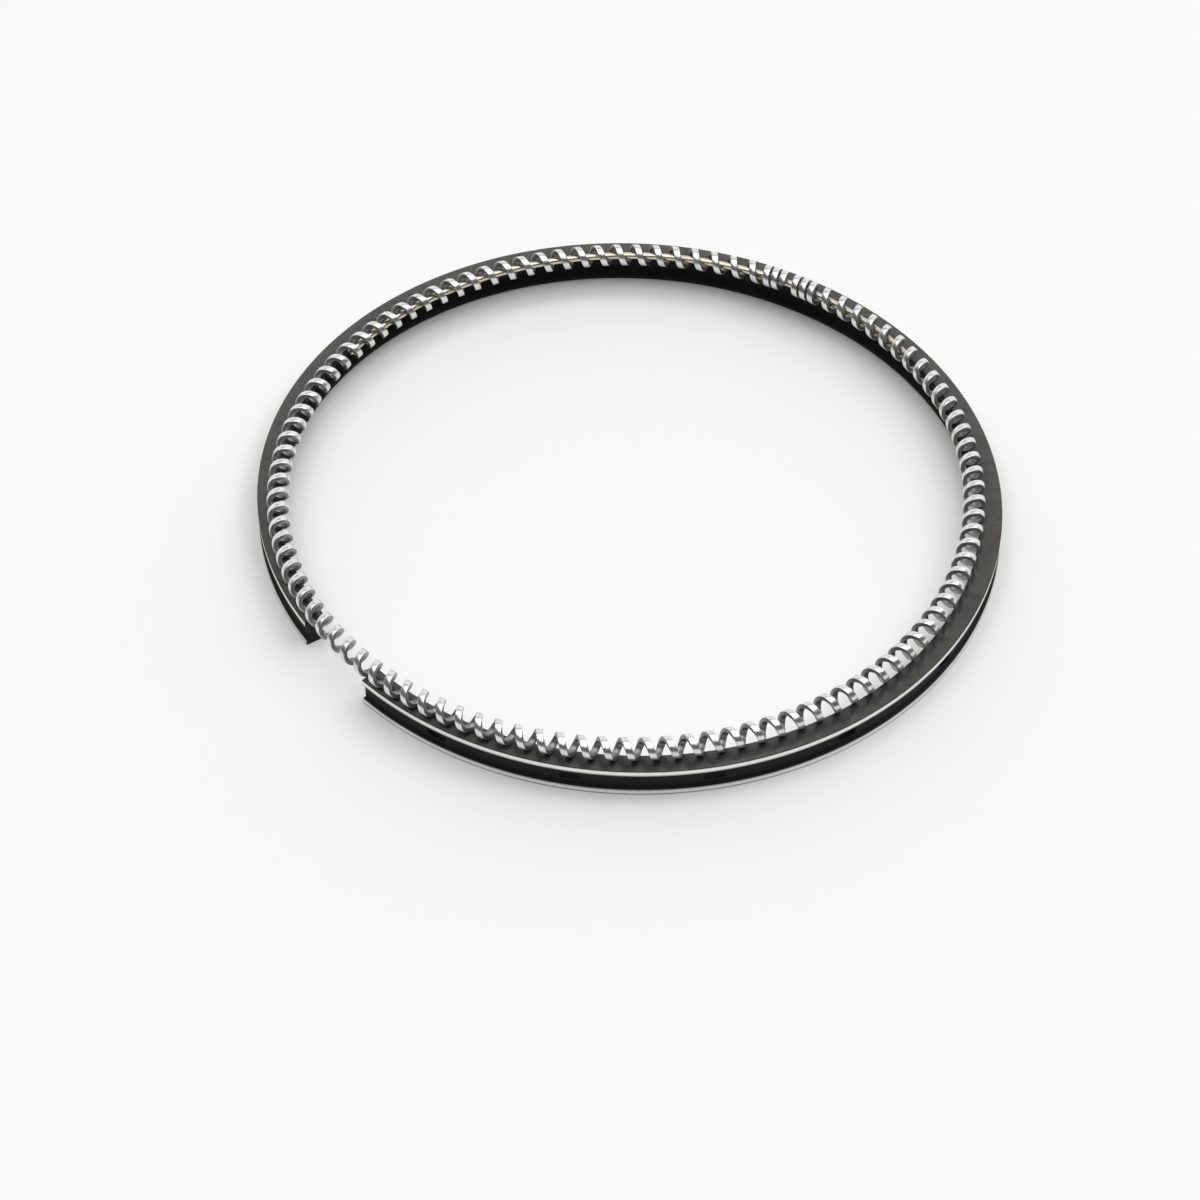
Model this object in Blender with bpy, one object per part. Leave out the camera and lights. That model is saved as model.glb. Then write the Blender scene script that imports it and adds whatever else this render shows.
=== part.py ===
"""Oil control piston ring with a coil-spring expander, lying free on its side.

The ring body is a split iron ring with two narrow scraping lands, a channel between them and drain slots
from the channel to a round groove inside. The expander is a coil of flat steel strip closed to a hoop. It has
been lifted out of its groove and lies on the ring's top face. A latch wire inside the coil joins its ends.

Frame: metres, +Z up. The origin is on the bottom face, on the ring's axis, and the free gap faces -Y.
"""
from math import asin, atan2, cos, pi, radians, sin, sqrt

import bmesh
import bpy
from mathutils import Matrix, Vector

MM = 0.001

# Ring body
BORE_DIAMETER = 70.5 * MM       # cylinder that the ring closes to
FREE_GAP = 9.2 * MM             # between the ends when the ring lies free
CLOSED_GAP = 0.3 * MM           # between the ends in the cylinder
SIDE_BULGE = 0.175 * MM         # the free ring's sides stand out this much further, its back and ends less
RING_HEIGHT = 3.175 * MM
RING_WALL = 2.1 * MM            # radial thickness over the lands
LAND_HEIGHT = 0.60 * MM         # each of the two scraping lands
LAND_BEVEL = 0.06 * MM          # slope between a side face and its land
CHANNEL_DEPTH = 0.32 * MM       # from the lands to the channel's floor
CHANNEL_TAPER = 0.06 * MM       # how far each flank of the channel leans over its depth
INNER_CHAMFER = 0.12 * MM       # broken edge between a side face and the inner face
GROOVE_DEPTH = 0.85 * MM        # spring groove, measured from the inner face
GROOVE_CLEARANCE = 0.05 * MM    # groove radius over the coil's own radius

# Drain slots
SLOT_COUNT = 16
SLOT_LENGTH = 2.1 * MM
SLOT_HEIGHT = 0.72 * MM
SLOT_END_DISTANCE = 9.0 * MM    # from a ring end to the middle of the first slot
CUTTER_OVERRUN = 0.6 * MM       # how far a slot cutter passes the ring's wall on each side

# Coil expander
COIL_DIAMETER = 2.2 * MM        # over the outside of a turn
STRIP_WIDTH = 0.66 * MM
STRIP_THICKNESS = 0.32 * MM
COIL_TURNS = 109.38             # from end to end, which gives a pitch of about 2 mm
END_PITCH = 0.88 * MM           # the close turns at each end of the coil
END_TURNS = 2.5
START_TURN = 0.55               # how far round its turn the strip starts, from the hoop's outer side
SPREAD_START = 0.045 * MM       # added to the pitch of the first few turns
SPREAD_REST = 0.18 * MM         # how far those turns have pushed the ones after them
SPREAD_WIDER = 0.0135 * MM      # added to the pitch of the turns up to about halfway
SPREAD_CLOSER = 0.036 * MM      # taken from the pitch of the turns after that
SPREAD_LAST = 73.3              # the turn by which those are back in their even place
SPREAD_BACK = 0.20 * MM         # the turns from there to the end stand back by this much
SPREAD_END = 0.08 * MM          # added to the pitch of the close turns at the end
JOINT_GAP = 0.45 * MM           # between the coil's two end turns
HOOP_EXCESS = 1.05 * MM         # how far the free hoop's centre line stands out of the closed ring's inner face
HOOP_SHIFT = 1.05 * MM          # the hoop lies off the ring's axis, towards the gap
HOOP_SHIFT_AZIMUTH = radians(300)
HOOP_LEAN = 0.30 * MM           # the far side of the hoop dips into the bore by this much
JOINT_AZIMUTH = radians(112.2)
SEAT_CLEARANCE = 0.20 * MM      # between the coil and the ring's top face

# Latch wire
WIRE_DIAMETER = 0.70 * MM
WIRE_SHORT_REACH = 16.5 * MM    # along the hoop from the joint, clockwise
WIRE_LONG_REACH = 51.0 * MM     # along the hoop from the joint, counter-clockwise
WIRE_SAG = 0.10 * MM            # the wire lies below the middle of the coil

# Fineness of the faceted surfaces
RING_STEPS = 96
GROOVE_STEPS = 7
SLOT_ARC_STEPS = 4
TURN_STEPS = 10
WIRE_STEPS = 34
WIRE_BEVEL_RESOLUTION = 2

# Worked out from the sizes above
CLOSED_RADIUS = BORE_DIAMETER / 2
OPENING = (FREE_GAP - CLOSED_GAP) / (3 * pi)    # radial opening of the ring opposite its gap
HOOP_RADIUS = CLOSED_RADIUS - RING_WALL + HOOP_EXCESS
STRIP_RADIUS = (COIL_DIAMETER - STRIP_THICKNESS) / 2


def clear_scene():
    for item in list(bpy.data.objects):
        bpy.data.objects.remove(item)


def new_collection(name):
    collection = bpy.data.collections.new(name)
    bpy.context.scene.collection.children.link(collection)
    return collection


def metal(name, colour, roughness, metallic):
    material = bpy.data.materials.new(name)
    material.use_nodes = True
    shader = material.node_tree.nodes["Principled BSDF"]
    shader.inputs["Base Color"].default_value = (*colour, 1.0)
    shader.inputs["Roughness"].default_value = roughness
    shader.inputs["Metallic"].default_value = metallic
    return material


def add_object(name, data, collection, material=None):
    item = bpy.data.objects.new(name, data)
    collection.objects.link(item)
    if material:
        data.materials.append(material)
    return item


def mesh_of(item):
    """The evaluated mesh of a curve, with the loose rims of its caps joined."""
    bpy.context.view_layer.update()
    graph = bpy.context.evaluated_depsgraph_get()
    mesh = bpy.data.meshes.new_from_object(item.evaluated_get(graph))
    shape = bmesh.new()
    shape.from_mesh(mesh)
    bmesh.ops.remove_doubles(shape, verts=shape.verts, dist=0.001 * MM)
    bmesh.ops.recalc_face_normals(shape, faces=shape.faces)
    shape.to_mesh(mesh)
    shape.free()
    return mesh


def poly_curve(name, points, closed, dimensions="3D"):
    curve = bpy.data.curves.new(name, "CURVE")
    curve.dimensions = dimensions
    spline = curve.splines.new("POLY")
    spline.points.add(len(points) - 1)
    for spot, point in zip(spline.points, points):
        spot.co = (point[0], point[1], point[2] if len(point) > 2 else 0.0, 1.0)
    spline.use_cyclic_u = closed
    return curve


def smooth(mesh, angle=radians(32)):
    mesh.shade_smooth()
    mesh.set_sharp_from_angle(angle=angle)


def free_point(angle):
    """Point of the free ring's outer line, for the place at this angle from the back of the closed ring.

    A ring that presses evenly on its cylinder all round springs open to this shape: each place moves out by
    OPENING * (1 + angle * sin(angle) / 2), and back from the gap far enough to keep the ring's length. The
    side bulge is a small departure from it, which presses the ring's sides a little harder.
    """
    bulge = -SIDE_BULGE * cos(2 * angle)
    radius = CLOSED_RADIUS + OPENING * (1 + angle * sin(angle) / 2) + bulge
    slide = -OPENING * (angle + (sin(angle) - angle * cos(angle)) / 2) + SIDE_BULGE * sin(2 * angle) / 2
    azimuth = pi / 2 + angle + slide / CLOSED_RADIUS
    return Vector((radius * cos(azimuth), radius * sin(azimuth), 0.0))


def end_angle():
    return pi - CLOSED_GAP / 2 / CLOSED_RADIUS


def body_section():
    """Outline of the ring's section: x runs outwards from the lands' face, y runs up from the bottom face."""
    inner = -RING_WALL
    floor = -CHANNEL_DEPTH
    low_land = LAND_BEVEL + LAND_HEIGHT
    high_land = RING_HEIGHT - low_land
    groove_radius = COIL_DIAMETER / 2 + GROOVE_CLEARANCE
    groove_x = inner + GROOVE_DEPTH - groove_radius
    groove_y = RING_HEIGHT / 2
    mouth = sqrt(groove_radius ** 2 - (groove_radius - GROOVE_DEPTH) ** 2)
    half_arc = atan2(mouth, inner - groove_x)
    arc = []
    for step in range(GROOVE_STEPS + 1):
        turn = half_arc - 2 * half_arc * step / GROOVE_STEPS
        arc.append((groove_x + groove_radius * cos(turn), groove_y + groove_radius * sin(turn)))
    return [
        (-LAND_BEVEL, 0.0),
        (0.0, LAND_BEVEL),
        (0.0, low_land),
        (floor, low_land + CHANNEL_TAPER),
        (floor, high_land - CHANNEL_TAPER),
        (0.0, high_land),
        (0.0, RING_HEIGHT - LAND_BEVEL),
        (-LAND_BEVEL, RING_HEIGHT),
        (inner + INNER_CHAMFER, RING_HEIGHT),
        (inner, RING_HEIGHT - INNER_CHAMFER),
        *arc,
        (inner, INNER_CHAMFER),
        (inner + INNER_CHAMFER, 0.0),
    ]


def ring_blank():
    """The section swept along the free shape, as a curve with its own profile."""
    profile = bpy.data.objects.new("body_section", poly_curve("body_section", body_section(), True, "2D"))
    bpy.context.scene.collection.objects.link(profile)
    reach = end_angle()
    angles = [2 * reach * step / RING_STEPS - reach for step in range(RING_STEPS + 1)]
    path = poly_curve("free_shape", [free_point(angle) for angle in angles], False)
    path.twist_mode = "Z_UP"
    path.bevel_mode = "OBJECT"
    path.bevel_object = profile
    path.use_fill_caps = True
    sweep = bpy.data.objects.new("free_shape", path)
    bpy.context.scene.collection.objects.link(sweep)
    mesh = mesh_of(sweep)
    for item in (sweep, profile):
        bpy.data.objects.remove(item)
    return mesh


def slot_cutter_mesh():
    """A flat bar with round ends: its length lies along X, its height along Y and its depth along Z."""
    end_radius = SLOT_HEIGHT / 2
    straight = SLOT_LENGTH / 2 - end_radius
    outline = []
    for side in (1, -1):
        for step in range(SLOT_ARC_STEPS + 1):
            turn = pi * step / SLOT_ARC_STEPS - side * pi / 2
            outline.append((side * straight + end_radius * cos(turn), end_radius * sin(turn)))
    bar = poly_curve("slot_cutter", outline, True, "2D")
    bar.fill_mode = "BOTH"
    bar.extrude = RING_WALL / 2 + CUTTER_OVERRUN
    item = bpy.data.objects.new("slot_cutter", bar)
    bpy.context.scene.collection.objects.link(item)
    mesh = mesh_of(item)
    bpy.data.objects.remove(item)
    return mesh


def add_slot_cutters(cutters):
    mesh = slot_cutter_mesh()
    first = end_angle() - SLOT_END_DISTANCE / CLOSED_RADIUS
    for index in range(SLOT_COUNT):
        angle = first - 2 * first * index / (SLOT_COUNT - 1)
        outside = free_point(angle)
        outward = outside.normalized()
        centre = outside - outward * RING_WALL / 2 + Vector((0, 0, RING_HEIGHT / 2))
        along = Vector((0, 0, 1)).cross(outward)
        turn = Matrix((along, Vector((0, 0, 1)), along.cross(Vector((0, 0, 1))))).transposed()
        cutter = add_object(f"slot_cutter_{index + 1:02d}", mesh, cutters)
        cutter.matrix_world = Matrix.Translation(centre) @ turn.to_4x4()
        cutter.hide_render = True
        cutter.display_type = "WIRE"


def make_ring_body(parts, cutters, material):
    mesh = ring_blank()
    body = add_object("ring_body", mesh, parts, material)
    add_slot_cutters(cutters)
    slots = body.modifiers.new("drain_slots", "BOOLEAN")
    slots.operation = "DIFFERENCE"
    slots.solver = "EXACT"
    slots.operand_type = "COLLECTION"
    slots.collection = cutters
    smooth(mesh)
    return body


def spread(wound):
    """How far a turn of the loose coil has slid along the hoop from its even place."""
    slid = min(wound * SPREAD_START, SPREAD_REST + wound * SPREAD_WIDER, (SPREAD_LAST - wound) * SPREAD_CLOSER)
    return max(slid, -SPREAD_BACK, (wound - COIL_TURNS) * SPREAD_END)


def coil_path():
    """(turns, arc) pairs along the strip: how far it has wound, and how far along the hoop it has come."""
    start = (STRIP_WIDTH + JOINT_GAP) / 2
    end_length = END_TURNS * END_PITCH
    open_turns = COIL_TURNS - 2 * END_TURNS
    open_length = 2 * pi * HOOP_RADIUS - 2 * start - 2 * end_length
    turns, arc = START_TURN, start
    path = [(turns, arc)]
    for stage_turns, stage_length in (
        (END_TURNS, end_length),
        (open_turns, open_length),
        (END_TURNS, end_length),
    ):
        steps = round(stage_turns * TURN_STEPS)
        for step in range(1, steps + 1):
            share = step / steps
            path.append((turns + stage_turns * share, arc + stage_length * share))
        turns += stage_turns
        arc += stage_length
    return [(turns, arc + spread(turns - START_TURN)) for turns, arc in path]


def strip_centre(turns, arc):
    """Middle of the strip, and the way out of the coil there, on a hoop round the origin."""
    azimuth = JOINT_AZIMUTH + arc / HOOP_RADIUS
    outward = Vector((cos(azimuth), sin(azimuth), 0.0))
    turn = 2 * pi * turns
    away = outward * cos(turn) - Vector((0, 0, 1)) * sin(turn)
    return outward * HOOP_RADIUS + away * STRIP_RADIUS, away


def make_coil(parts, material):
    """Flat strip wound right-handed round the hoop, lofted section by section."""
    stations = [strip_centre(turns, arc) for turns, arc in coil_path()]
    shape = bmesh.new()
    rims = []
    for index, (centre, away) in enumerate(stations):
        before = stations[max(index - 1, 0)][0]
        after = stations[min(index + 1, len(stations) - 1)][0]
        across = away.cross((after - before).normalized()).normalized()
        corners = []
        for out, side in ((1, 1), (1, -1), (-1, -1), (-1, 1)):
            corner = centre + away * (out * STRIP_THICKNESS / 2) + across * (side * STRIP_WIDTH / 2)
            corners.append(shape.verts.new(corner))
        rims.append(corners)
    for rim, following in zip(rims, rims[1:]):
        for k in range(4):
            shape.faces.new((rim[k], rim[(k + 1) % 4], following[(k + 1) % 4], following[k]))
    shape.faces.new(rims[0])
    shape.faces.new(rims[-1])
    bmesh.ops.recalc_face_normals(shape, faces=shape.faces)
    mesh = bpy.data.meshes.new("coil_expander")
    shape.to_mesh(mesh)
    shape.free()
    smooth(mesh, radians(50))
    return add_object("coil_expander", mesh, parts, material)


def make_latch_wire(parts, material):
    """Round wire inside the coil, bent to the hoop, bridging the joint."""
    points = []
    for step in range(WIRE_STEPS + 1):
        arc = -WIRE_SHORT_REACH + (WIRE_SHORT_REACH + WIRE_LONG_REACH) * step / WIRE_STEPS
        azimuth = JOINT_AZIMUTH + arc / HOOP_RADIUS
        points.append((HOOP_RADIUS * cos(azimuth), HOOP_RADIUS * sin(azimuth), -WIRE_SAG))
    curve = poly_curve("latch_wire", points, False)
    curve.bevel_depth = WIRE_DIAMETER / 2
    curve.bevel_resolution = WIRE_BEVEL_RESOLUTION
    curve.use_fill_caps = True
    line = bpy.data.objects.new("latch_line", curve)
    bpy.context.scene.collection.objects.link(line)
    mesh = mesh_of(line)
    bpy.data.objects.remove(line)
    smooth(mesh)
    return add_object("latch_wire", mesh, parts, material)


def make_hoop_frame(parts):
    """Where the hoop lies: shifted towards the gap, on the top face there, and dipping on the far side."""
    frame = bpy.data.objects.new("hoop_frame", None)
    parts.objects.link(frame)
    shift = Vector((cos(HOOP_SHIFT_AZIMUTH), sin(HOOP_SHIFT_AZIMUTH), 0.0))
    seat = RING_HEIGHT + SEAT_CLEARANCE + COIL_DIAMETER / 2
    tilt_axis = Vector((0, 0, 1)).cross(shift)
    tilt = Matrix.Rotation(-asin(HOOP_LEAN / (2 * HOOP_RADIUS)), 4, tilt_axis)
    centre = shift * HOOP_SHIFT + Vector((0, 0, seat - HOOP_LEAN / 2))
    frame.matrix_world = Matrix.Translation(centre) @ tilt
    return frame


def main():
    clear_scene()
    parts = new_collection("oil_control_ring")
    cutters = new_collection("slot_cutters")
    phosphated_iron = metal("phosphated_iron", (0.045, 0.043, 0.042), 0.62, 0.25)
    spring_steel = metal("spring_steel", (0.62, 0.62, 0.61), 0.28, 1.0)
    latch_steel = metal("latch_steel", (0.58, 0.53, 0.46), 0.30, 1.0)
    make_ring_body(parts, cutters, phosphated_iron)
    frame = make_hoop_frame(parts)
    for piece in (make_coil(parts, spring_steel), make_latch_wire(parts, latch_steel)):
        piece.parent = frame
    bpy.context.view_layer.update()


main()
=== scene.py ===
# %% [markdown]
# # An oil control piston ring with its coil expander
#
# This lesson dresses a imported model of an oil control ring. The ring is a split hoop of iron. It carries two
# narrow lands that scrape oil from a cylinder wall, a channel between them that collects the oil, and slots that
# drain it. A coil spring of flat steel strip sits in a groove inside the ring and pushes it outwards. Here the
# spring has been lifted out and lies on the ring, so every part of the set can be seen.
#
# The ring and the coil both follow a rule, so Geometry Nodes make both. The finishes are worked out from where
# a point is on the piece, with no pictures.

from math import asin, atan2, cos, pi, radians, sin, sqrt, tan

import bpy
from mathutils import Matrix, Vector


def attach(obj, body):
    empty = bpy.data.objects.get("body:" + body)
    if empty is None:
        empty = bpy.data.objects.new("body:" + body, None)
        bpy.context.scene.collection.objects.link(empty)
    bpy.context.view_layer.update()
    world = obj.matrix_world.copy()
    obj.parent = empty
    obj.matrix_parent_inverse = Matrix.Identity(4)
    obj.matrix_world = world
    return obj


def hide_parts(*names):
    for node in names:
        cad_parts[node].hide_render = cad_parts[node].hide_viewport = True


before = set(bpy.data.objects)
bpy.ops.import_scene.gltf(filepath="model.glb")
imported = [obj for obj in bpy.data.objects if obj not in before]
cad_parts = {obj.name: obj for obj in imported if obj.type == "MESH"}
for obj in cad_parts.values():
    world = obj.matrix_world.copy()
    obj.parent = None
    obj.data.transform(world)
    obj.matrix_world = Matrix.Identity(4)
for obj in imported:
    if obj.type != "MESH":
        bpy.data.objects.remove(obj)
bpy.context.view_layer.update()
print("nodes:", ", ".join(sorted(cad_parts)))

# %% [markdown]
# ## Sizes
#
# Every size is in metres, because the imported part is. A ring like this is drawn by its bore, its height and its
# wall, and by the free gap: how far its ends stand apart when nothing holds it.

# %% Sizes of the ring body
MM = 0.001

CLOSED_RADIUS = 35.25 * MM      # half of the bore that the ring closes to
FREE_GAP = 9.2 * MM
CLOSED_GAP = 0.3 * MM
SIDE_BULGE = 0.175 * MM
RING_HEIGHT = 3.175 * MM
RING_WALL = 2.1 * MM
LAND_HEIGHT = 0.60 * MM
LAND_BEVEL = 0.06 * MM
LAND_CROWN = 0.016 * MM         # the lapped land is rounded by this much
CHANNEL_DEPTH = 0.32 * MM
CHANNEL_TAPER = 0.06 * MM
INNER_CHAMFER = 0.12 * MM
GROOVE_RADIUS = 1.15 * MM
GROOVE_DEPTH = 0.85 * MM
EDGE_RADIUS = 0.03 * MM
LAND_EDGE_RADIUS = 0.015 * MM

SLOT_COUNT = 16
SLOT_LENGTH = 2.1 * MM
SLOT_HEIGHT = 0.72 * MM
SLOT_ROUNDING = 0.499           # of the height: just under half, so that the arcs of one end don't touch
SLOT_END_DISTANCE = 9.0 * MM

print("bore", CLOSED_RADIUS * 2 / MM, "mm, free gap", FREE_GAP / MM, "mm")

# %% Sizes of the coil and its wire
COIL_DIAMETER = 2.2 * MM
STRIP_WIDTH = 0.66 * MM
STRIP_THICKNESS = 0.48 * MM
STRIP_EDGE = 0.07 * MM          # radius of the strip's rolled edges
STRIP_CROWN = 0.015 * MM        # the flats bulge by this much
COIL_TURNS = 109.38
END_PITCH = 0.88 * MM
END_TURNS = 2.5
START_TURN = 0.55
SPREAD_START = 0.045 * MM       # added to the pitch of the first few turns
SPREAD_REST = 0.18 * MM         # how far those turns have pushed the ones after them
SPREAD_WIDER = 0.0135 * MM      # added to the pitch of the turns up to about halfway
SPREAD_CLOSER = 0.036 * MM      # taken from the pitch of the turns after that
SPREAD_LAST = 73.3              # the turn by which those are back in their even place
SPREAD_BACK = 0.20 * MM         # the turns from there to the end stand back by this much
SPREAD_END = 0.08 * MM          # added to the pitch of the close turns at the end
SWAY = 0.21 * MM                # the turns on two opposite sides are carried this far the same way
SWAY_AZIMUTH = radians(231)
SWAY_THREE = 0.07 * MM          # and a little to and fro between three places
SWAY_THREE_AZIMUTH = radians(343.4)
JOINT_GAP = 0.45 * MM
JOINT_AZIMUTH = radians(112.27)
HOOP_RADIUS = 34.24 * MM
HOOP_OVAL = 0.22 * MM           # the hoop is slightly longer across its joint
HOOP_OVAL_AZIMUTH = radians(126.8)
HOOP_POINT = 0.07 * MM          # and slightly pointed there
HOOP_POINT_AZIMUTH = radians(105.2)
HOOP_SHIFT = 0.88 * MM
HOOP_SHIFT_AZIMUTH = radians(294.5)
HOOP_LEAN = 0.30 * MM
SEAT_CLEARANCE = 0.08 * MM

WIRE_DIAMETER = 0.70 * MM
WIRE_SHORT_REACH = 16.5 * MM
WIRE_LONG_REACH = 51.0 * MM
WIRE_SAG = 0.10 * MM
WIRE_TIP = 0.7                  # the tips are drawn in to this share of the diameter

# How finely the shapes are made
RING_STATIONS = 480
WIRE_STATIONS = 420
STATIONS_A_TURN = 32            # along the strip, for each turn of the coil
GROOVE_STEPS = 14
SLOT_END_STEPS = 8
WIRE_SIDES = 24

# %% [markdown]
# ## The camera
#
# The camera is set first, so that each piece can be judged in the picture as it is made. It looks down by about
# 46 degrees from 35 cm away. That is close for a thing of 7 cm, so the near side looks larger than the far side.

# %% Camera
CAMERA_PLACE = Vector((191.79, -153.71, 245.97)) * MM
CAMERA_AIM = Vector((-0.5424, 0.4238, -0.7254))
CAMERA_LENS = 105.3


def make_camera():
    data = bpy.data.cameras.new("camera")
    data.lens = CAMERA_LENS
    data.sensor_width = 36
    data.clip_start = 0.01
    camera = bpy.data.objects.new("camera", data)
    bpy.context.scene.collection.objects.link(camera)
    camera.location = CAMERA_PLACE
    camera.rotation_mode = "QUATERNION"
    camera.rotation_quaternion = CAMERA_AIM.to_track_quat("-Z", "Y")
    bpy.context.scene.camera = camera


make_camera()
VIEW_AZIMUTH = atan2(CAMERA_PLACE.y, CAMERA_PLACE.x)
print("camera", round(CAMERA_PLACE.length / MM), "mm from the ring's middle")

# %% [markdown]
# ## Writing node trees as sums
#
# A node tree is a calculation, and long calculations are easier to read as Python sums than as boxes and links.
# `Term` stands for one output of a node. Adding, multiplying or comparing terms adds the Math nodes that do it.
# `Kit` makes every other node: it takes the node's type, its settings, and the values or links of its inputs.
# The same two classes serve the Geometry Nodes trees, the materials and the world.


# %% Terms and kits
class Term:
    """An output of a node that can be used in Python sums."""

    def __init__(self, kit, socket):
        self.kit = kit
        self.socket = socket

    def __add__(self, other):
        return self.kit.math("ADD", self, other)

    def __radd__(self, other):
        return self.kit.math("ADD", other, self)

    def __sub__(self, other):
        return self.kit.math("SUBTRACT", self, other)

    def __rsub__(self, other):
        return self.kit.math("SUBTRACT", other, self)

    def __mul__(self, other):
        return self.kit.math("MULTIPLY", self, other)

    def __rmul__(self, other):
        return self.kit.math("MULTIPLY", other, self)

    def __truediv__(self, other):
        return self.kit.math("DIVIDE", self, other)

    def __rtruediv__(self, other):
        return self.kit.math("DIVIDE", other, self)

    def __neg__(self):
        return self.kit.math("MULTIPLY", self, -1)

    def __abs__(self):
        return self.kit.math("ABSOLUTE", self)


class Kit:
    """Makes the nodes of one tree."""

    def __init__(self, tree):
        self.tree = tree

    def node(self, kind, settings=None, inputs=None):
        node = self.tree.nodes.new(kind)
        for name, value in (settings or {}).items():
            setattr(node, name, value)
        for name, value in (inputs or {}).items():
            if isinstance(value, Term):
                self.tree.links.new(value.socket, node.inputs[name])
            else:
                node.inputs[name].default_value = value
        node.location = (180 * (len(self.tree.nodes) % 24), -260 * (len(self.tree.nodes) // 24))
        return node

    def term(self, kind, settings=None, inputs=None, output=0):
        return Term(self, self.node(kind, settings, inputs).outputs[output])

    def math(self, operation, *values):
        return self.term("ShaderNodeMath", {"operation": operation}, dict(enumerate(values)))

    def vector(self, x, y, z):
        return self.term("ShaderNodeCombineXYZ", inputs={"X": x, "Y": y, "Z": z})

    def split(self, vector):
        node = self.node("ShaderNodeSeparateXYZ", inputs={0: vector})
        return [Term(self, output) for output in node.outputs]

    def rise(self, value, low, high):
        """0 below low, 1 above high, and smooth in between. It falls where low is above high."""
        start, end, flip = (low, high, False) if low < high else (high, low, True)
        mask = self.term(
            "ShaderNodeMapRange",
            {"interpolation_type": "SMOOTHSTEP"},
            {"Value": value, "From Min": start, "From Max": end},
        )
        return 1 - mask if flip else mask

    def sine(self, angle):
        return self.math("SINE", angle)

    def cosine(self, angle):
        return self.math("COSINE", angle)


# %% [markdown]
# A Geometry Nodes tree has its sizes as named inputs, so that the same tree can be tried with others. The
# modifier knows an input by its identifier, not by its name. Once the tree has run, its result is kept as a
# plain mesh, and the modifier is removed: the piece then has its place in its mesh and its object at the origin.


# %% Running a Geometry Nodes tree
class ShapeKit(Kit):
    """A Geometry Nodes tree with named inputs."""

    SOCKETS = {"float": "NodeSocketFloat", "int": "NodeSocketInt"}

    def __init__(self, name):
        super().__init__(bpy.data.node_groups.new(name, "GeometryNodeTree"))
        self.tree.interface.new_socket("Geometry", in_out="OUTPUT", socket_type="NodeSocketGeometry")
        self.values = {}

    def size(self, name, value):
        kind = "int" if isinstance(value, int) else "float"
        item = self.tree.interface.new_socket(name, in_out="INPUT", socket_type=self.SOCKETS[kind])
        self.values[item.identifier] = value
        return self.term("NodeGroupInput", output=name)

    def keep(self, name, shape, value, domain="POINT"):
        """Stores a value at each point or face of a shape, for the finish to read."""
        return self.term(
            "GeometryNodeStoreNamedAttribute",
            {"data_type": "FLOAT", "domain": domain},
            {"Geometry": shape, "Name": name, "Value": value},
        )

    def move(self, points, place):
        return self.term("GeometryNodeSetPosition", inputs={"Geometry": points, "Position": place})

    def sweep(self, path, profile, **more):
        """The solid that a closed profile makes along a path."""
        inputs = {"Curve": path, "Profile Curve": profile, "Fill Caps": True, **more}
        return self.term("GeometryNodeCurveToMesh", inputs=inputs)

    def run(self, name, shape, material):
        """Ends the tree in the shape, runs it once and returns the finished piece."""
        solid = self.term("GeometryNodeRealizeInstances", inputs={"Geometry": shape})
        dressed = self.term("GeometryNodeSetMaterial", inputs={"Geometry": solid, "Material": material})
        self.node("NodeGroupOutput", inputs={"Geometry": dressed})
        piece = bpy.data.objects.new(name, bpy.data.meshes.new(name))
        bpy.context.scene.collection.objects.link(piece)
        modifier = piece.modifiers.new("shape", "NODES")
        modifier.node_group = self.tree
        for identifier, value in self.values.items():
            modifier[identifier] = value
        bpy.context.view_layer.update()
        evaluated = piece.evaluated_get(bpy.context.evaluated_depsgraph_get())
        mesh = bpy.data.meshes.new_from_object(evaluated)
        piece.modifiers.remove(modifier)
        piece.data = mesh
        return piece


# %% [markdown]
# ## The ring body
#
# A ring must press evenly on its cylinder all round, so it isn't made round. It is turned or cast to a shape that
# closes to a circle. Beam theory gives that shape: a place at an angle `a` from the back moves out by
# `opening * (1 + a sin(a) / 2)` when the ring is let go, and slides back from the gap to keep the ring's length.
#
# The path comes from a straight line of points, moved to the free shape by that rule. The section is swept along
# it with Curve to Mesh. A lathe profile and Screw would be simpler, but would give a round ring with no gap.


# %% The free shape as a rule
OPENING = (FREE_GAP - CLOSED_GAP) / (3 * pi)
END_ANGLE = pi - CLOSED_GAP / 2 / CLOSED_RADIUS


def free_shape(kit, angle, closed_radius, opening, bulge):
    """Radius and azimuth of the free ring's outer line at an angle from its back."""
    wave, double = kit.sine(angle), angle * 2
    radius = closed_radius + opening * (1 + angle * wave / 2) - bulge * kit.cosine(double)
    slide = bulge * kit.sine(double) / 2 - opening * (angle + (wave - angle * kit.cosine(angle)) / 2)
    azimuth = pi / 2 + angle + slide / closed_radius
    return radius, azimuth


def line_of_points(kit, count):
    """A curve of that many points, and how far along it each point is, from 0 to 1."""
    line = kit.term("GeometryNodeCurvePrimitiveLine")
    points = kit.term("GeometryNodeResampleCurve", {"mode": "COUNT"}, {"Curve": line, "Count": count})
    share = kit.term("GeometryNodeInputIndex") / (count - 1)
    return points, share


# %% [markdown]
# The section is drawn as a corner list with a radius at each corner. Real edges are never quite sharp, and it is
# the small radius along an edge that catches the light. The two lands get a slight crown, as lapping leaves them.


# %% The ring's section
SIDE_SHARE = 0.45               # an arc takes up no more than this share of a side


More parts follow.
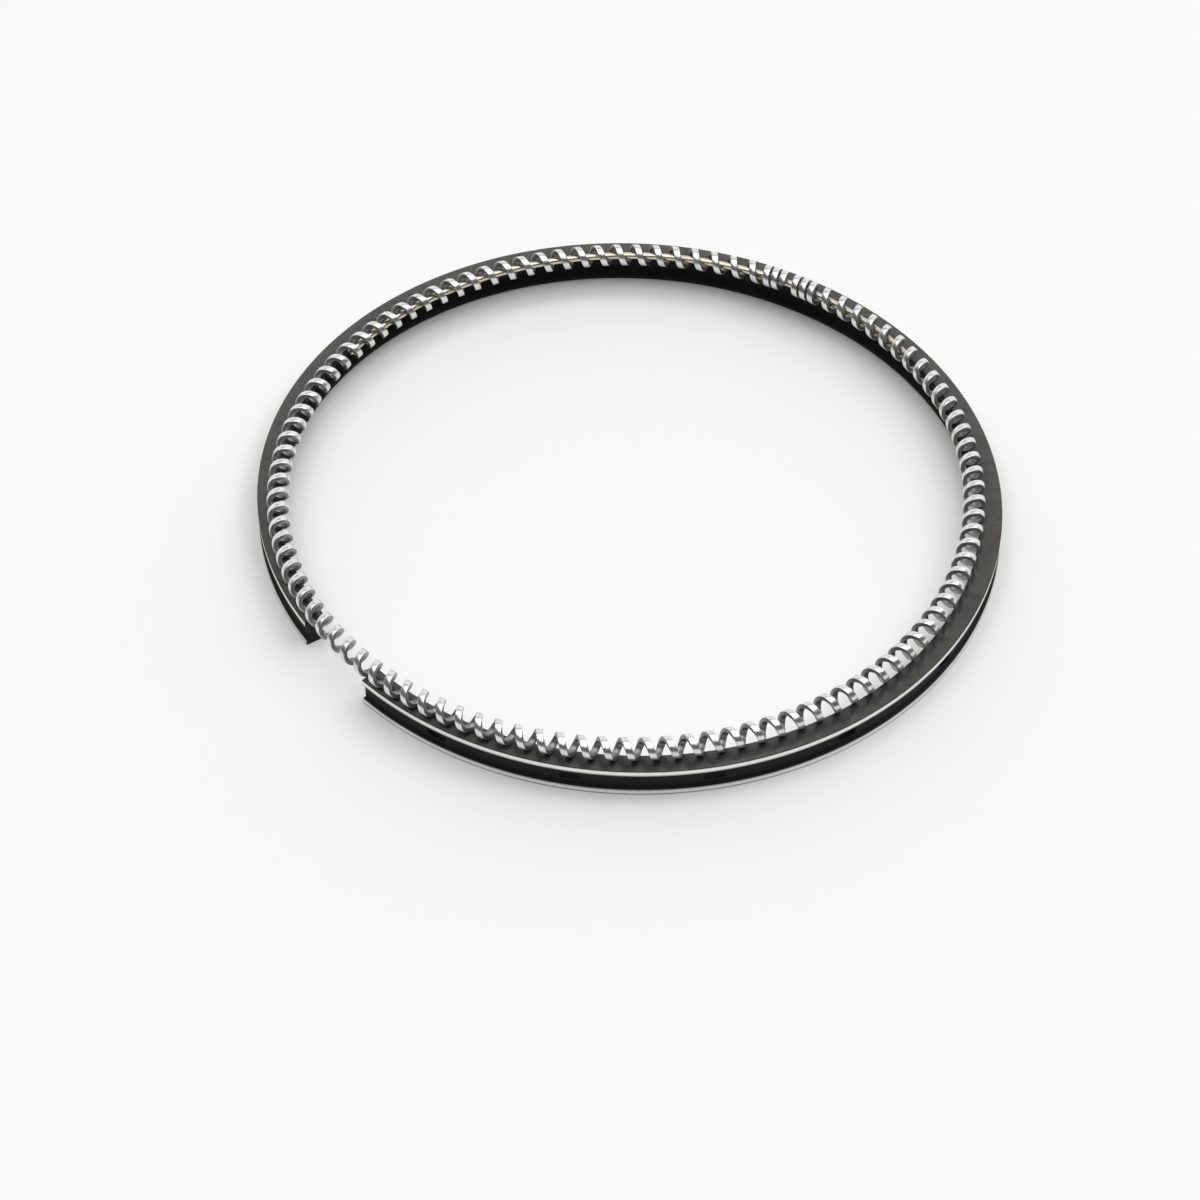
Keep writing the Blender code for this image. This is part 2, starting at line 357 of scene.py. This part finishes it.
def rounded(corners, steps=3):
    """A closed outline with each corner replaced by an arc. A corner is (x, y, radius)."""
    outline = []
    for index, (x, y, radius) in enumerate(corners):
        here = Vector((x, y))
        before = Vector(corners[index - 1][:2]) - here
        after = Vector(corners[(index + 1) % len(corners)][:2]) - here
        if radius == 0:
            outline.append(here)
            continue
        half = before.angle(after) / 2
        reach = min(radius / tan(half), SIDE_SHARE * before.length, SIDE_SHARE * after.length)
        radius = reach * tan(half)
        middle = here + (before.normalized() + after.normalized()).normalized() * (radius / sin(half))
        first, last = here + before.normalized() * reach - middle, here + after.normalized() * reach - middle
        for step in range(steps + 1):
            outline.append(middle + first.slerp(last, step / steps) * radius)
    return outline


def ring_section():
    """The section's outline: x outwards from the land's face, y up from the lower side face."""
    inner, floor = -RING_WALL, -CHANNEL_DEPTH
    low, high = LAND_BEVEL + LAND_HEIGHT, RING_HEIGHT - LAND_BEVEL - LAND_HEIGHT
    edge, fine = EDGE_RADIUS, LAND_EDGE_RADIUS
    half_land, crown_radius = LAND_HEIGHT / 2, LAND_HEIGHT * 4
    groove_x = inner + GROOVE_DEPTH - GROOVE_RADIUS
    mouth = atan2(sqrt(GROOVE_RADIUS ** 2 - (inner - groove_x) ** 2), inner - groove_x)
    corners = [
        (-LAND_BEVEL, 0.0, edge),
        (-LAND_CROWN, LAND_BEVEL, fine),
        (0.0, LAND_BEVEL + half_land, crown_radius),
        (-LAND_CROWN, low, fine),
        (floor, low + CHANNEL_TAPER, edge),
        (floor, high - CHANNEL_TAPER, edge),
        (-LAND_CROWN, high, fine),
        (0.0, high + half_land, crown_radius),
        (-LAND_CROWN, RING_HEIGHT - LAND_BEVEL, fine),
        (-LAND_BEVEL, RING_HEIGHT, edge),
        (inner + INNER_CHAMFER, RING_HEIGHT, edge),
        (inner, RING_HEIGHT - INNER_CHAMFER, edge),
    ]
    for step in range(GROOVE_STEPS + 1):
        turn = mouth - 2 * mouth * step / GROOVE_STEPS
        corners.append((groove_x + GROOVE_RADIUS * cos(turn), RING_HEIGHT / 2 + GROOVE_RADIUS * sin(turn), 0))
    corners += [(inner, INNER_CHAMFER, edge), (inner + INNER_CHAMFER, 0.0, edge)]
    return rounded(corners)


def strip_section():
    """The strip's outline: x away from the coil's middle, y along the coil."""
    x, y, flat = STRIP_THICKNESS / 2, STRIP_WIDTH / 2, STRIP_THICKNESS / 2 - STRIP_CROWN
    crown_radius = STRIP_WIDTH
    corners = [
        (flat, -y, STRIP_EDGE),
        (x, 0.0, crown_radius),
        (flat, y, STRIP_EDGE),
        (-flat, y, STRIP_EDGE),
        (-x, 0.0, crown_radius),
        (-flat, -y, STRIP_EDGE),
    ]
    return rounded(corners)


def outline_curve(name, outline):
    curve = bpy.data.curves.new(name, "CURVE")
    spline = curve.splines.new("POLY")
    spline.points.add(len(outline) - 1)
    for point, place in zip(spline.points, outline):
        point.co = (place.x, place.y, 0, 1)
    spline.use_cyclic_u = True
    item = bpy.data.objects.new(name, curve)
    bpy.context.scene.collection.objects.link(item)
    return item


ring_outline = outline_curve("ring_section", ring_section())
strip_outline = outline_curve("strip_section", strip_section())
for outline in (ring_outline, strip_outline):
    print(outline.name, len(outline.data.splines[0].points), "points")

# %% [markdown]
# The drain slots are milled through the channel's floor into the spring groove. Each cutter is a bar with round
# ends. Instance on Points sets one at each place on the same free shape, and one Mesh Boolean cuts them all.
# The cut faces keep the cutter's `in_slot` value, and the finish paints shade on them by it.


# %% Ring body tree
def ring_tree(material):
    kit = ShapeKit("ring body")
    closed_radius = kit.size("Closed radius", CLOSED_RADIUS)
    opening = kit.size("Opening", OPENING)
    bulge = kit.size("Side bulge", SIDE_BULGE)
    end_angle = kit.size("End angle", END_ANGLE)
    stations = kit.size("Stations", RING_STATIONS)

    def on_free_shape(count, angle_at_ends, inset, height):
        points, share = line_of_points(kit, count)
        angle = angle_at_ends * (share * 2 - 1)
        radius, azimuth = free_shape(kit, angle, closed_radius, opening, bulge)
        radius = radius - inset
        place = kit.vector(radius * kit.cosine(azimuth), radius * kit.sine(azimuth), height)
        return kit.move(points, place), azimuth

    path, _ = on_free_shape(stations, end_angle, 0.0, RING_HEIGHT)  # the section hangs down from its path
    path = kit.term("GeometryNodeSetCurveNormal", {"mode": "Z_UP"}, {"Curve": path})
    profile = kit.term("GeometryNodeObjectInfo", inputs={"Object": ring_outline}, output="Geometry")
    blank = kit.sweep(path, profile)

    slot_count = kit.size("Slots", SLOT_COUNT)
    slot_angle = end_angle - kit.size("Slot end distance", SLOT_END_DISTANCE) / closed_radius
    slot_height = kit.size("Slot height", SLOT_HEIGHT)
    bar_outline = kit.term(
        "GeometryNodeCurvePrimitiveQuadrilateral",
        inputs={"Width": kit.size("Slot length", SLOT_LENGTH), "Height": slot_height},
    )
    bar_outline = kit.term(
        "GeometryNodeFilletCurve",
        {"mode": "POLY"},
        {"Curve": bar_outline, "Count": SLOT_END_STEPS, "Radius": slot_height * SLOT_ROUNDING},
    )
    axis_ends = {"Start": (-RING_WALL, 0, 0), "End": (RING_WALL, 0, 0)}
    bar = kit.sweep(kit.term("GeometryNodeCurvePrimitiveLine", inputs=axis_ends), bar_outline)
    places, azimuth = on_free_shape(slot_count, slot_angle, RING_WALL / 2, RING_HEIGHT / 2)
    bars = kit.term(
        "GeometryNodeInstanceOnPoints",
        inputs={"Points": places, "Instance": bar, "Rotation": kit.vector(0, 0, azimuth)},
    )
    bars = kit.term("GeometryNodeRealizeInstances", inputs={"Geometry": bars})
    bars = kit.keep("in_slot", bars, 1.0, "FACE")
    cut = kit.term(
        "GeometryNodeMeshBoolean",
        {"operation": "DIFFERENCE", "solver": "EXACT"},
        {"Mesh 1": blank, "Mesh 2": bars},
        output="Mesh",
    )
    return kit.run("ring_body_finished", cut, material)


# %% [markdown]
# ## The coil expander
#
# The spring is wound from flat strip, and its ends meet so that it makes a closed hoop. Both facts are one sum:
# the strip's middle goes round the hoop once, while it goes round its own small circle many times. Near the
# joint, a few turns lie closer together. `wound` counts turns, and `arc` is the way along the hoop.
#
# A loose spring is never quite even. Its hoop is a little longer one way and slightly pointed at the joint, and
# its turns have slid along it: `slid` moves them between the joint's two sides, and the two sways carry them to
# and fro round the hoop.
#
# Curve to Mesh turns a section with the curve's normal. Left alone, the normal would drift, and the flat strip
# would twist. So the tree gives each point its own normal, straight away from the middle of the coil.


# %% The hoop's shape
def out_of_round(kit, azimuth):
    """How far the hoop stands out from a circle. The stiff wire pushes it out at the joint."""
    oval = HOOP_OVAL * kit.cosine((azimuth - HOOP_OVAL_AZIMUTH) * 2)
    return oval + HOOP_POINT * kit.cosine((azimuth - HOOP_POINT_AZIMUTH) * 3)


# %% Coil tree
def coil_tree(material):
    kit = ShapeKit("coil expander")
    turns = kit.size("Turns", COIL_TURNS)
    end_turns = kit.size("Close turns at each end", END_TURNS)
    end_pitch = kit.size("Close pitch", END_PITCH)
    hoop_radius = kit.size("Hoop radius", HOOP_RADIUS)
    strip_radius = kit.size("Radius to the middle of the strip", (COIL_DIAMETER - STRIP_THICKNESS) / 2)
    width = kit.size("Strip width", STRIP_WIDTH)
    joint_gap = kit.size("Joint gap", JOINT_GAP)
    points, share = line_of_points(kit, kit.size("Stations", round(COIL_TURNS * STATIONS_A_TURN)))

    wound = turns * share
    open_turns = turns - end_turns * 2
    open_length = hoop_radius * (2 * pi) - width - joint_gap - end_turns * end_pitch * 2
    in_ends = kit.math("MINIMUM", wound, end_turns) + kit.math("MAXIMUM", wound - end_turns - open_turns, 0)
    arc = (width + joint_gap) / 2 + in_ends * end_pitch + (wound - in_ends) * open_length / open_turns
    slid = kit.math("MINIMUM", wound * SPREAD_START, SPREAD_REST + wound * SPREAD_WIDER)
    slid = kit.math("MINIMUM", slid, (SPREAD_LAST - wound) * SPREAD_CLOSER)
    slid = kit.math("MAXIMUM", slid, kit.math("MAXIMUM", (wound - turns) * SPREAD_END, -SPREAD_BACK))
    arc = arc + slid

    azimuth = JOINT_AZIMUTH + arc / hoop_radius
    arc = arc + SWAY * kit.cosine(azimuth - SWAY_AZIMUTH)
    arc = arc + SWAY_THREE * kit.cosine((azimuth - SWAY_THREE_AZIMUTH) * 3)
    azimuth = JOINT_AZIMUTH + arc / hoop_radius
    turn = (wound + START_TURN) * (2 * pi)
    out, up = kit.cosine(turn), -kit.sine(turn)
    east, north = kit.cosine(azimuth), kit.sine(azimuth)
    radius = hoop_radius + out_of_round(kit, azimuth) + out * strip_radius
    place = kit.vector(radius * east, radius * north, up * strip_radius)
    path = kit.term(
        "GeometryNodeSetCurveNormal",
        {"mode": "FREE"},
        {"Curve": kit.move(points, place), "Normal": kit.vector(out * east, out * north, up)},
    )
    path = kit.keep("along_strip", path, wound * (2 * pi) * strip_radius)

    flat = kit.term("GeometryNodeObjectInfo", inputs={"Object": strip_outline}, output="Geometry")
    outline_x, outline_y, _ = kit.split(kit.term("GeometryNodeInputPosition"))
    flat = kit.keep("out_of_coil", flat, outline_x)
    flat = kit.keep("across_strip", flat, outline_y)
    return kit.run("coil_expander_finished", kit.sweep(path, flat), material)


# %% [markdown]
# ## The latch wire
#
# A round wire runs inside the coil, past the joint, and keeps the two ends in line. It is a stretch of the same
# hoop, swept with a circle. The Scale input of Curve to Mesh draws in the first and last station, which breaks
# the edges of the cut ends.


# %% Latch wire tree
def wire_tree(material):
    kit = ShapeKit("latch wire")
    hoop_radius = kit.size("Hoop radius", HOOP_RADIUS)
    short_reach = kit.size("Short reach", WIRE_SHORT_REACH)
    long_reach = kit.size("Long reach", WIRE_LONG_REACH)
    points, share = line_of_points(kit, kit.size("Stations", WIRE_STATIONS))
    azimuth = JOINT_AZIMUTH + ((short_reach + long_reach) * share - short_reach) / hoop_radius
    radius = hoop_radius + out_of_round(kit, azimuth)
    place = kit.vector(radius * kit.cosine(azimuth), radius * kit.sine(azimuth), -WIRE_SAG)
    path = kit.keep("along_strip", kit.move(points, place), (short_reach + long_reach) * share)
    circle = kit.term(
        "GeometryNodeCurvePrimitiveCircle",
        inputs={"Resolution": WIRE_SIDES, "Radius": kit.size("Wire diameter", WIRE_DIAMETER) / 2},
    )
    tip = kit.math("GREATER_THAN", abs(share - 0.5), 0.4995)  # 1 at the first and last station, else 0
    return kit.run("latch_wire_finished", kit.sweep(path, circle, Scale=1 - (1 - WIRE_TIP) * tip), material)


# %% [markdown]
# ## Where the coil lies
#
# The loose coil is a little larger than the groove it came from, so it rests on the ring's upper side face. It
# has been pushed towards the gap. On the far side it hangs over the inner edge and dips slightly into the bore.


# %% Laying the hoop on the ring
def hoop_frame():
    shift = Vector((cos(HOOP_SHIFT_AZIMUTH), sin(HOOP_SHIFT_AZIMUTH), 0.0))
    seat = RING_HEIGHT + SEAT_CLEARANCE + COIL_DIAMETER / 2
    tilt = Matrix.Rotation(-asin(HOOP_LEAN / (2 * HOOP_RADIUS)), 4, Vector((0, 0, 1)).cross(shift))
    return Matrix.Translation(shift * HOOP_SHIFT + Vector((0, 0, seat - HOOP_LEAN / 2))) @ tilt


# %% [markdown]
# ## Finishes
#
# A material here is again a sum. `place` is the point in millimetres, so a noise scale reads as grains for each
# millimetre. Masks tell the surfaces of one casting apart by height and by which way they face.


# %% Material kit
class FinishKit(Kit):
    """The node tree of one finish."""

    def __init__(self, name):
        self.material = bpy.data.materials.new(name)
        self.material.use_nodes = True
        super().__init__(self.material.node_tree)
        self.shader = self.tree.nodes["Principled BSDF"]

    def place(self):
        """The point on the piece, in millimetres."""
        metres = self.term("ShaderNodeTexCoord", output="Object")
        return self.term("ShaderNodeVectorMath", {"operation": "SCALE"}, {0: metres, "Scale": 1 / MM})

    def kept(self, name):
        """A length that a shape's tree kept at each point, in millimetres."""
        return self.term("ShaderNodeAttribute", {"attribute_name": name}, output="Fac") * (1 / MM)

    def stretched(self, vector, scale):
        return self.term("ShaderNodeVectorMath", {"operation": "MULTIPLY"}, {0: vector, 1: scale})

    def noise(self, vector, scale, detail=3.0, roughness=0.55):
        return self.term(
            "ShaderNodeTexNoise",
            inputs={"Vector": vector, "Scale": scale, "Detail": detail, "Roughness": roughness},
        )

    def mix(self, share, first, second):
        """A colour between two others. Inputs 6 and 7 of the Mix node are its two colours."""
        colours = {0: share, 6: first, 7: second}
        for key in (6, 7):
            if not isinstance(colours[key], Term):
                colours[key] = (*colours[key], 1.0)
        return self.term("ShaderNodeMix", {"data_type": "RGBA"}, colours, output=2)

    def finish(self, colour, roughness, metallic, height):
        """Wires up the shader. Height is the relief in metres."""
        bump = self.term("ShaderNodeBump", inputs={"Strength": 1.0, "Distance": 1.0, "Height": height})
        for name, value in (
            ("Base Color", colour),
            ("Roughness", roughness),
            ("Metallic", metallic),
            ("Normal", bump),
        ):
            if isinstance(value, Term):
                self.tree.links.new(value.socket, self.shader.inputs[name])
            else:
                self.shader.inputs[name].default_value = value
        return self.material


# %% [markdown]
# ### The iron of the ring
#
# The casting is phosphated: a thin black crystal coat that keeps rust off and holds oil. After it, the two side
# faces are ground, which leaves a dark satin grey, and the lands are lapped bright, because they must seal from
# the first stroke. The channel, the bevels and the spring groove keep the black coat, painted darker than the
# coat itself as painted shade for the channel and the groove.
#
# `cloud`, `smear` and `grain` are noises from coarse to fine. `lapping` has long lines round the ring, and
# `grinding` has crossed strokes. The slots get painted shade: they are made darker than their depth alone would
# make them.


# %% Phosphated iron with lapped lands
# The coat's colours are partly painted shade: darker than the coat itself, for the shade in the channel and the
# groove.
COAT_AND_SHADE_DARK, COAT_AND_SHADE_GREY = (0.004, 0.004, 0.0042), (0.013, 0.013, 0.0132)
# Painted shade: the slot faces are coloured near black, darker than their depth alone makes them.
SLOT_PAINTED_SHADE = (0.0005, 0.0005, 0.0005)
GROUND_DARK, GROUND_GREY = (0.070, 0.069, 0.063), (0.126, 0.124, 0.114)
GROUND_GRAIN, GROUND_SMEAR = (0.155, 0.152, 0.142), (0.060, 0.056, 0.050)
LAND_FLANK = (0.34, 0.34, 0.33)
LAPPED_GREY, LAPPED_BRIGHT = (0.82, 0.82, 0.81), (0.95, 0.95, 0.94)
MASK_OUT, MASK_IN = 0.01, 0.02  # a land's mask fades over this far beyond its edge and inside it, in millimetres
BAND_OFFSET = 0.04              # the lapped band lies this far from the land's middle, in millimetres


def phosphated_iron():
    kit = FinishKit("phosphated_iron")
    place = kit.place()
    x, y, z = kit.split(place)
    facing = kit.term("ShaderNodeNewGeometry", output="Normal")
    facing_x, facing_y, facing_z = kit.split(facing)
    radius = kit.math("SQRT", x * x + y * y)
    outwards = (x * facing_x + y * facing_y) / radius
    from_middle = abs(z - RING_HEIGHT / 2 / MM)

    land_top = (RING_HEIGHT / 2 - LAND_BEVEL) / MM
    land_foot = land_top - LAND_HEIGHT / MM
    land = kit.rise(from_middle, land_foot - MASK_OUT, land_foot + MASK_IN)
    land = land * kit.rise(from_middle, land_top + MASK_OUT, land_top - MASK_IN)
    land = land * kit.rise(outwards, 0.75, 0.95)
    band = (land_top + land_foot) / 2 + BAND_OFFSET
    lapped = kit.rise(abs(from_middle - band), 0.26, 0.12)
    side_face = RING_HEIGHT / 2 / MM
    side = kit.rise(abs(facing_z), 0.93, 0.99) * kit.rise(from_middle, side_face - 0.08, side_face - 0.03)

    cloud = kit.noise(place, scale=0.30, detail=4.0)
    smear = kit.noise(place, scale=1.1, detail=5.0, roughness=0.65)
    grain = kit.noise(place, scale=16.0, detail=4.0, roughness=0.7)
    lapping = kit.noise(kit.stretched(place, (0.3, 0.3, 60.0)), scale=1.0, detail=2.0)
    grinding = kit.noise(kit.stretched(place, (3.0, 26.0, 1.0)), scale=1.0)
    grinding = grinding + kit.noise(kit.stretched(place, (24.0, 4.0, 1.0)), scale=1.0)

    in_slot = kit.term("ShaderNodeAttribute", {"attribute_name": "in_slot"}, output="Fac")
    coat_and_shade = kit.mix(in_slot, kit.mix(grain, COAT_AND_SHADE_DARK, COAT_AND_SHADE_GREY), SLOT_PAINTED_SHADE)
    ground = kit.mix(cloud, GROUND_DARK, GROUND_GREY)
    ground = kit.mix(kit.rise(grain, 0.45, 0.75) * 0.35, ground, GROUND_GRAIN)
    ground = kit.mix(kit.rise(smear, 0.50, 0.66) * 0.55, ground, GROUND_SMEAR)
    bright = kit.mix(lapping, LAPPED_GREY, LAPPED_BRIGHT)
    colour = kit.mix(land, kit.mix(side, coat_and_shade, ground), kit.mix(lapped, LAND_FLANK, bright))

    coat_roughness = 0.62 - 0.35 * side + 0.10 * (grain - 0.5)
    land_roughness = 0.34 - 0.10 * lapped + 0.08 * lapping
    roughness = coat_roughness * (1 - land) + land * land_roughness
    metallic = kit.math("MAXIMUM", land, 0.74 * side)
    kit.shader.inputs["Specular IOR Level"].default_value = 0.2
    coat_relief = grain * (1 - land) * (0.004 - 0.003 * side)
    relief = coat_relief + grinding * side * 0.0010 + lapping * land * 0.0005
    return kit.finish(colour, roughness, metallic, relief * MM)


# %% [markdown]
# ### Strip and wire
#
# The spring strip is rolled and then drawn round a mandrel, so its fine lines run along it. Both trees kept how
# far a point is along its strip, and the noise is stretched that way. A film of oil leaves it uneven. Away from
# its outer face the strip gets a painted dark reflection, for the dark ring and turns that its sides and inside
# mirror.


# %% Spring steel and latch steel
def drawn_steel(name, dark, bright, stain, painted_dark_reflection=None):
    """Bright steel with lines along it. The last argument colours the strip away from its outer face: a painted
    dark reflection, for the dark ring and turns that its sides and inner face mirror.
    """
    kit = FinishKit(name)
    place = kit.place()
    lines = kit.noise(kit.vector(kit.kept("along_strip") * 0.6, kit.kept("across_strip") * 30.0, 0.0), scale=1.0)
    film = kit.noise(place, scale=0.55)
    specks = kit.noise(place, scale=9.0)
    stained = kit.rise(film * 0.6 + specks * 0.4, 0.52, 0.68) * 0.40
    colour = kit.mix(stained, kit.mix(lines, dark, bright), stain)
    roughness = 0.27 + 0.10 * (lines - 0.5) + 0.08 * kit.rise(film, 0.5, 0.7)
    # Painted reflection: away from the outer face, the strip is coloured darker for the dark ring and turns that
    # its sides and inner face mirror.
    if painted_dark_reflection:
        face = STRIP_THICKNESS / 2
        outer_face = kit.rise(kit.kept("out_of_coil"), (face - STRIP_EDGE) / MM, (face - STRIP_CROWN) / MM)
        colour = kit.mix(outer_face, painted_dark_reflection, colour)
        roughness = roughness + 0.14 * (1 - outer_face)
    return kit.finish(colour, roughness, 1.0, lines * (0.0003 * MM))


# %% Make the finishes
iron_finish = phosphated_iron()
spring_finish = drawn_steel(
    "spring_steel",
    dark=(0.62, 0.62, 0.60),
    bright=(0.90, 0.90, 0.88),
    stain=(0.42, 0.41, 0.38),
    painted_dark_reflection=(0.32, 0.32, 0.31),
)
latch_finish = drawn_steel(
    "latch_steel",
    dark=(0.54, 0.50, 0.43),
    bright=(0.80, 0.76, 0.66),
    stain=(0.36, 0.31, 0.25),
)
print("finishes:", iron_finish.name, spring_finish.name, latch_finish.name)

# %% Make the pieces
SMOOTH_ANGLE = radians(35)


def dress(piece, node):
    """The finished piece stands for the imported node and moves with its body."""
    piece.data.shade_smooth()
    piece.data.set_sharp_from_angle(angle=SMOOTH_ANGLE)
    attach(piece, "root")
    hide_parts(node)
    print(piece.name, len(piece.data.polygons), "faces")


ring = ring_tree(iron_finish)
coil = coil_tree(spring_finish)
wire = wire_tree(latch_finish)
for piece in (coil, wire):
    piece.data.transform(hoop_frame())
dress(ring, "ring_body")
dress(coil, "coil_expander")
dress(wire, "latch_wire")
for outline in (ring_outline, strip_outline):
    bpy.data.objects.remove(outline)

# %% [markdown]
# ## Floor and light
#
# The set lies on plain white paper in a dark room. A broad lamp overhead lights it evenly, and a smaller one to
# the right of the view, slightly behind the set, gives the coil its short shadows on the ring. A lamp's power
# comes from how bright a white card under it should look. The shares below add up to about one, so a colour
# renders about as it is written.
#
# Metal shows what it mirrors. A white backdrop stands across from the camera and ends about 45 degrees up. The
# camera looks down less steeply at the far side than at the near side. So level faces mirror the backdrop on the
# far side, and the dark above it on the near side.


# %% Floor
FLOOR_SIZE = 3.0
PAPER = (0.955, 0.955, 0.95)
PAPER_ROUGHNESS = 0.9


def make_floor():
    bpy.ops.mesh.primitive_plane_add(size=FLOOR_SIZE)
    floor = bpy.context.object
    floor.name = "floor"
    kit = FinishKit("paper")
    kit.shader.inputs["Base Color"].default_value = (*PAPER, 1.0)
    kit.shader.inputs["Roughness"].default_value = PAPER_ROUGHNESS
    floor.data.materials.append(kit.material)


make_floor()


# %% Lamps
def lamp(name, turn, elevation, distance, size, share):
    """A square lamp. Turn is from the camera's side. Share is the part of a card's brightness it gives."""
    azimuth = VIEW_AZIMUTH + radians(turn)
    height = radians(elevation)
    side = Vector((cos(height) * cos(azimuth), cos(height) * sin(azimuth), sin(height)))
    data = bpy.data.lights.new(name, "AREA")
    data.shape = "SQUARE"
    data.size = size
    data.energy = share * pi * pi * distance ** 2 / sin(height)
    light = bpy.data.objects.new(name, data)
    bpy.context.scene.collection.objects.link(light)
    light.location = side * distance
    light.rotation_mode = "QUATERNION"
    light.rotation_quaternion = (-side).to_track_quat("-Z", "Y")


lamp("overhead", turn=15, elevation=87, distance=2.0, size=2.6, share=0.92)
lamp("key", turn=110, elevation=50, distance=2.0, size=0.7, share=0.11)

# %% World
ROOM, BACKDROP = 0.10, 0.95
BACKDROP_SIDES = 0.10, 0.45     # cosines of the turns away from its middle between which it fades in
BACKDROP_TOP = 0.77, 0.67       # sines of the heights between which it fades in, from above


def make_world():
    """A dark room with a white backdrop that ends halfway up."""
    world = bpy.data.worlds.new("studio")
    world.use_nodes = True
    kit = Kit(world.node_tree)
    direction = kit.term("ShaderNodeTexCoord", output="Generated")
    away = (-cos(VIEW_AZIMUTH), -sin(VIEW_AZIMUTH), 0)
    both = {0: direction, 1: away}
    behind = kit.term("ShaderNodeVectorMath", {"operation": "DOT_PRODUCT"}, both, output="Value")
    height = kit.split(direction)[2]
    strength = ROOM + BACKDROP * kit.rise(behind, *BACKDROP_SIDES) * kit.rise(height, *BACKDROP_TOP)
    background = world.node_tree.nodes["Background"]
    background.inputs["Color"].default_value = (1.0, 1.0, 1.0, 1.0)
    world.node_tree.links.new(strength.socket, background.inputs["Strength"])
    bpy.context.scene.world = world


make_world()
bpy.context.scene.view_settings.view_transform = "Standard"
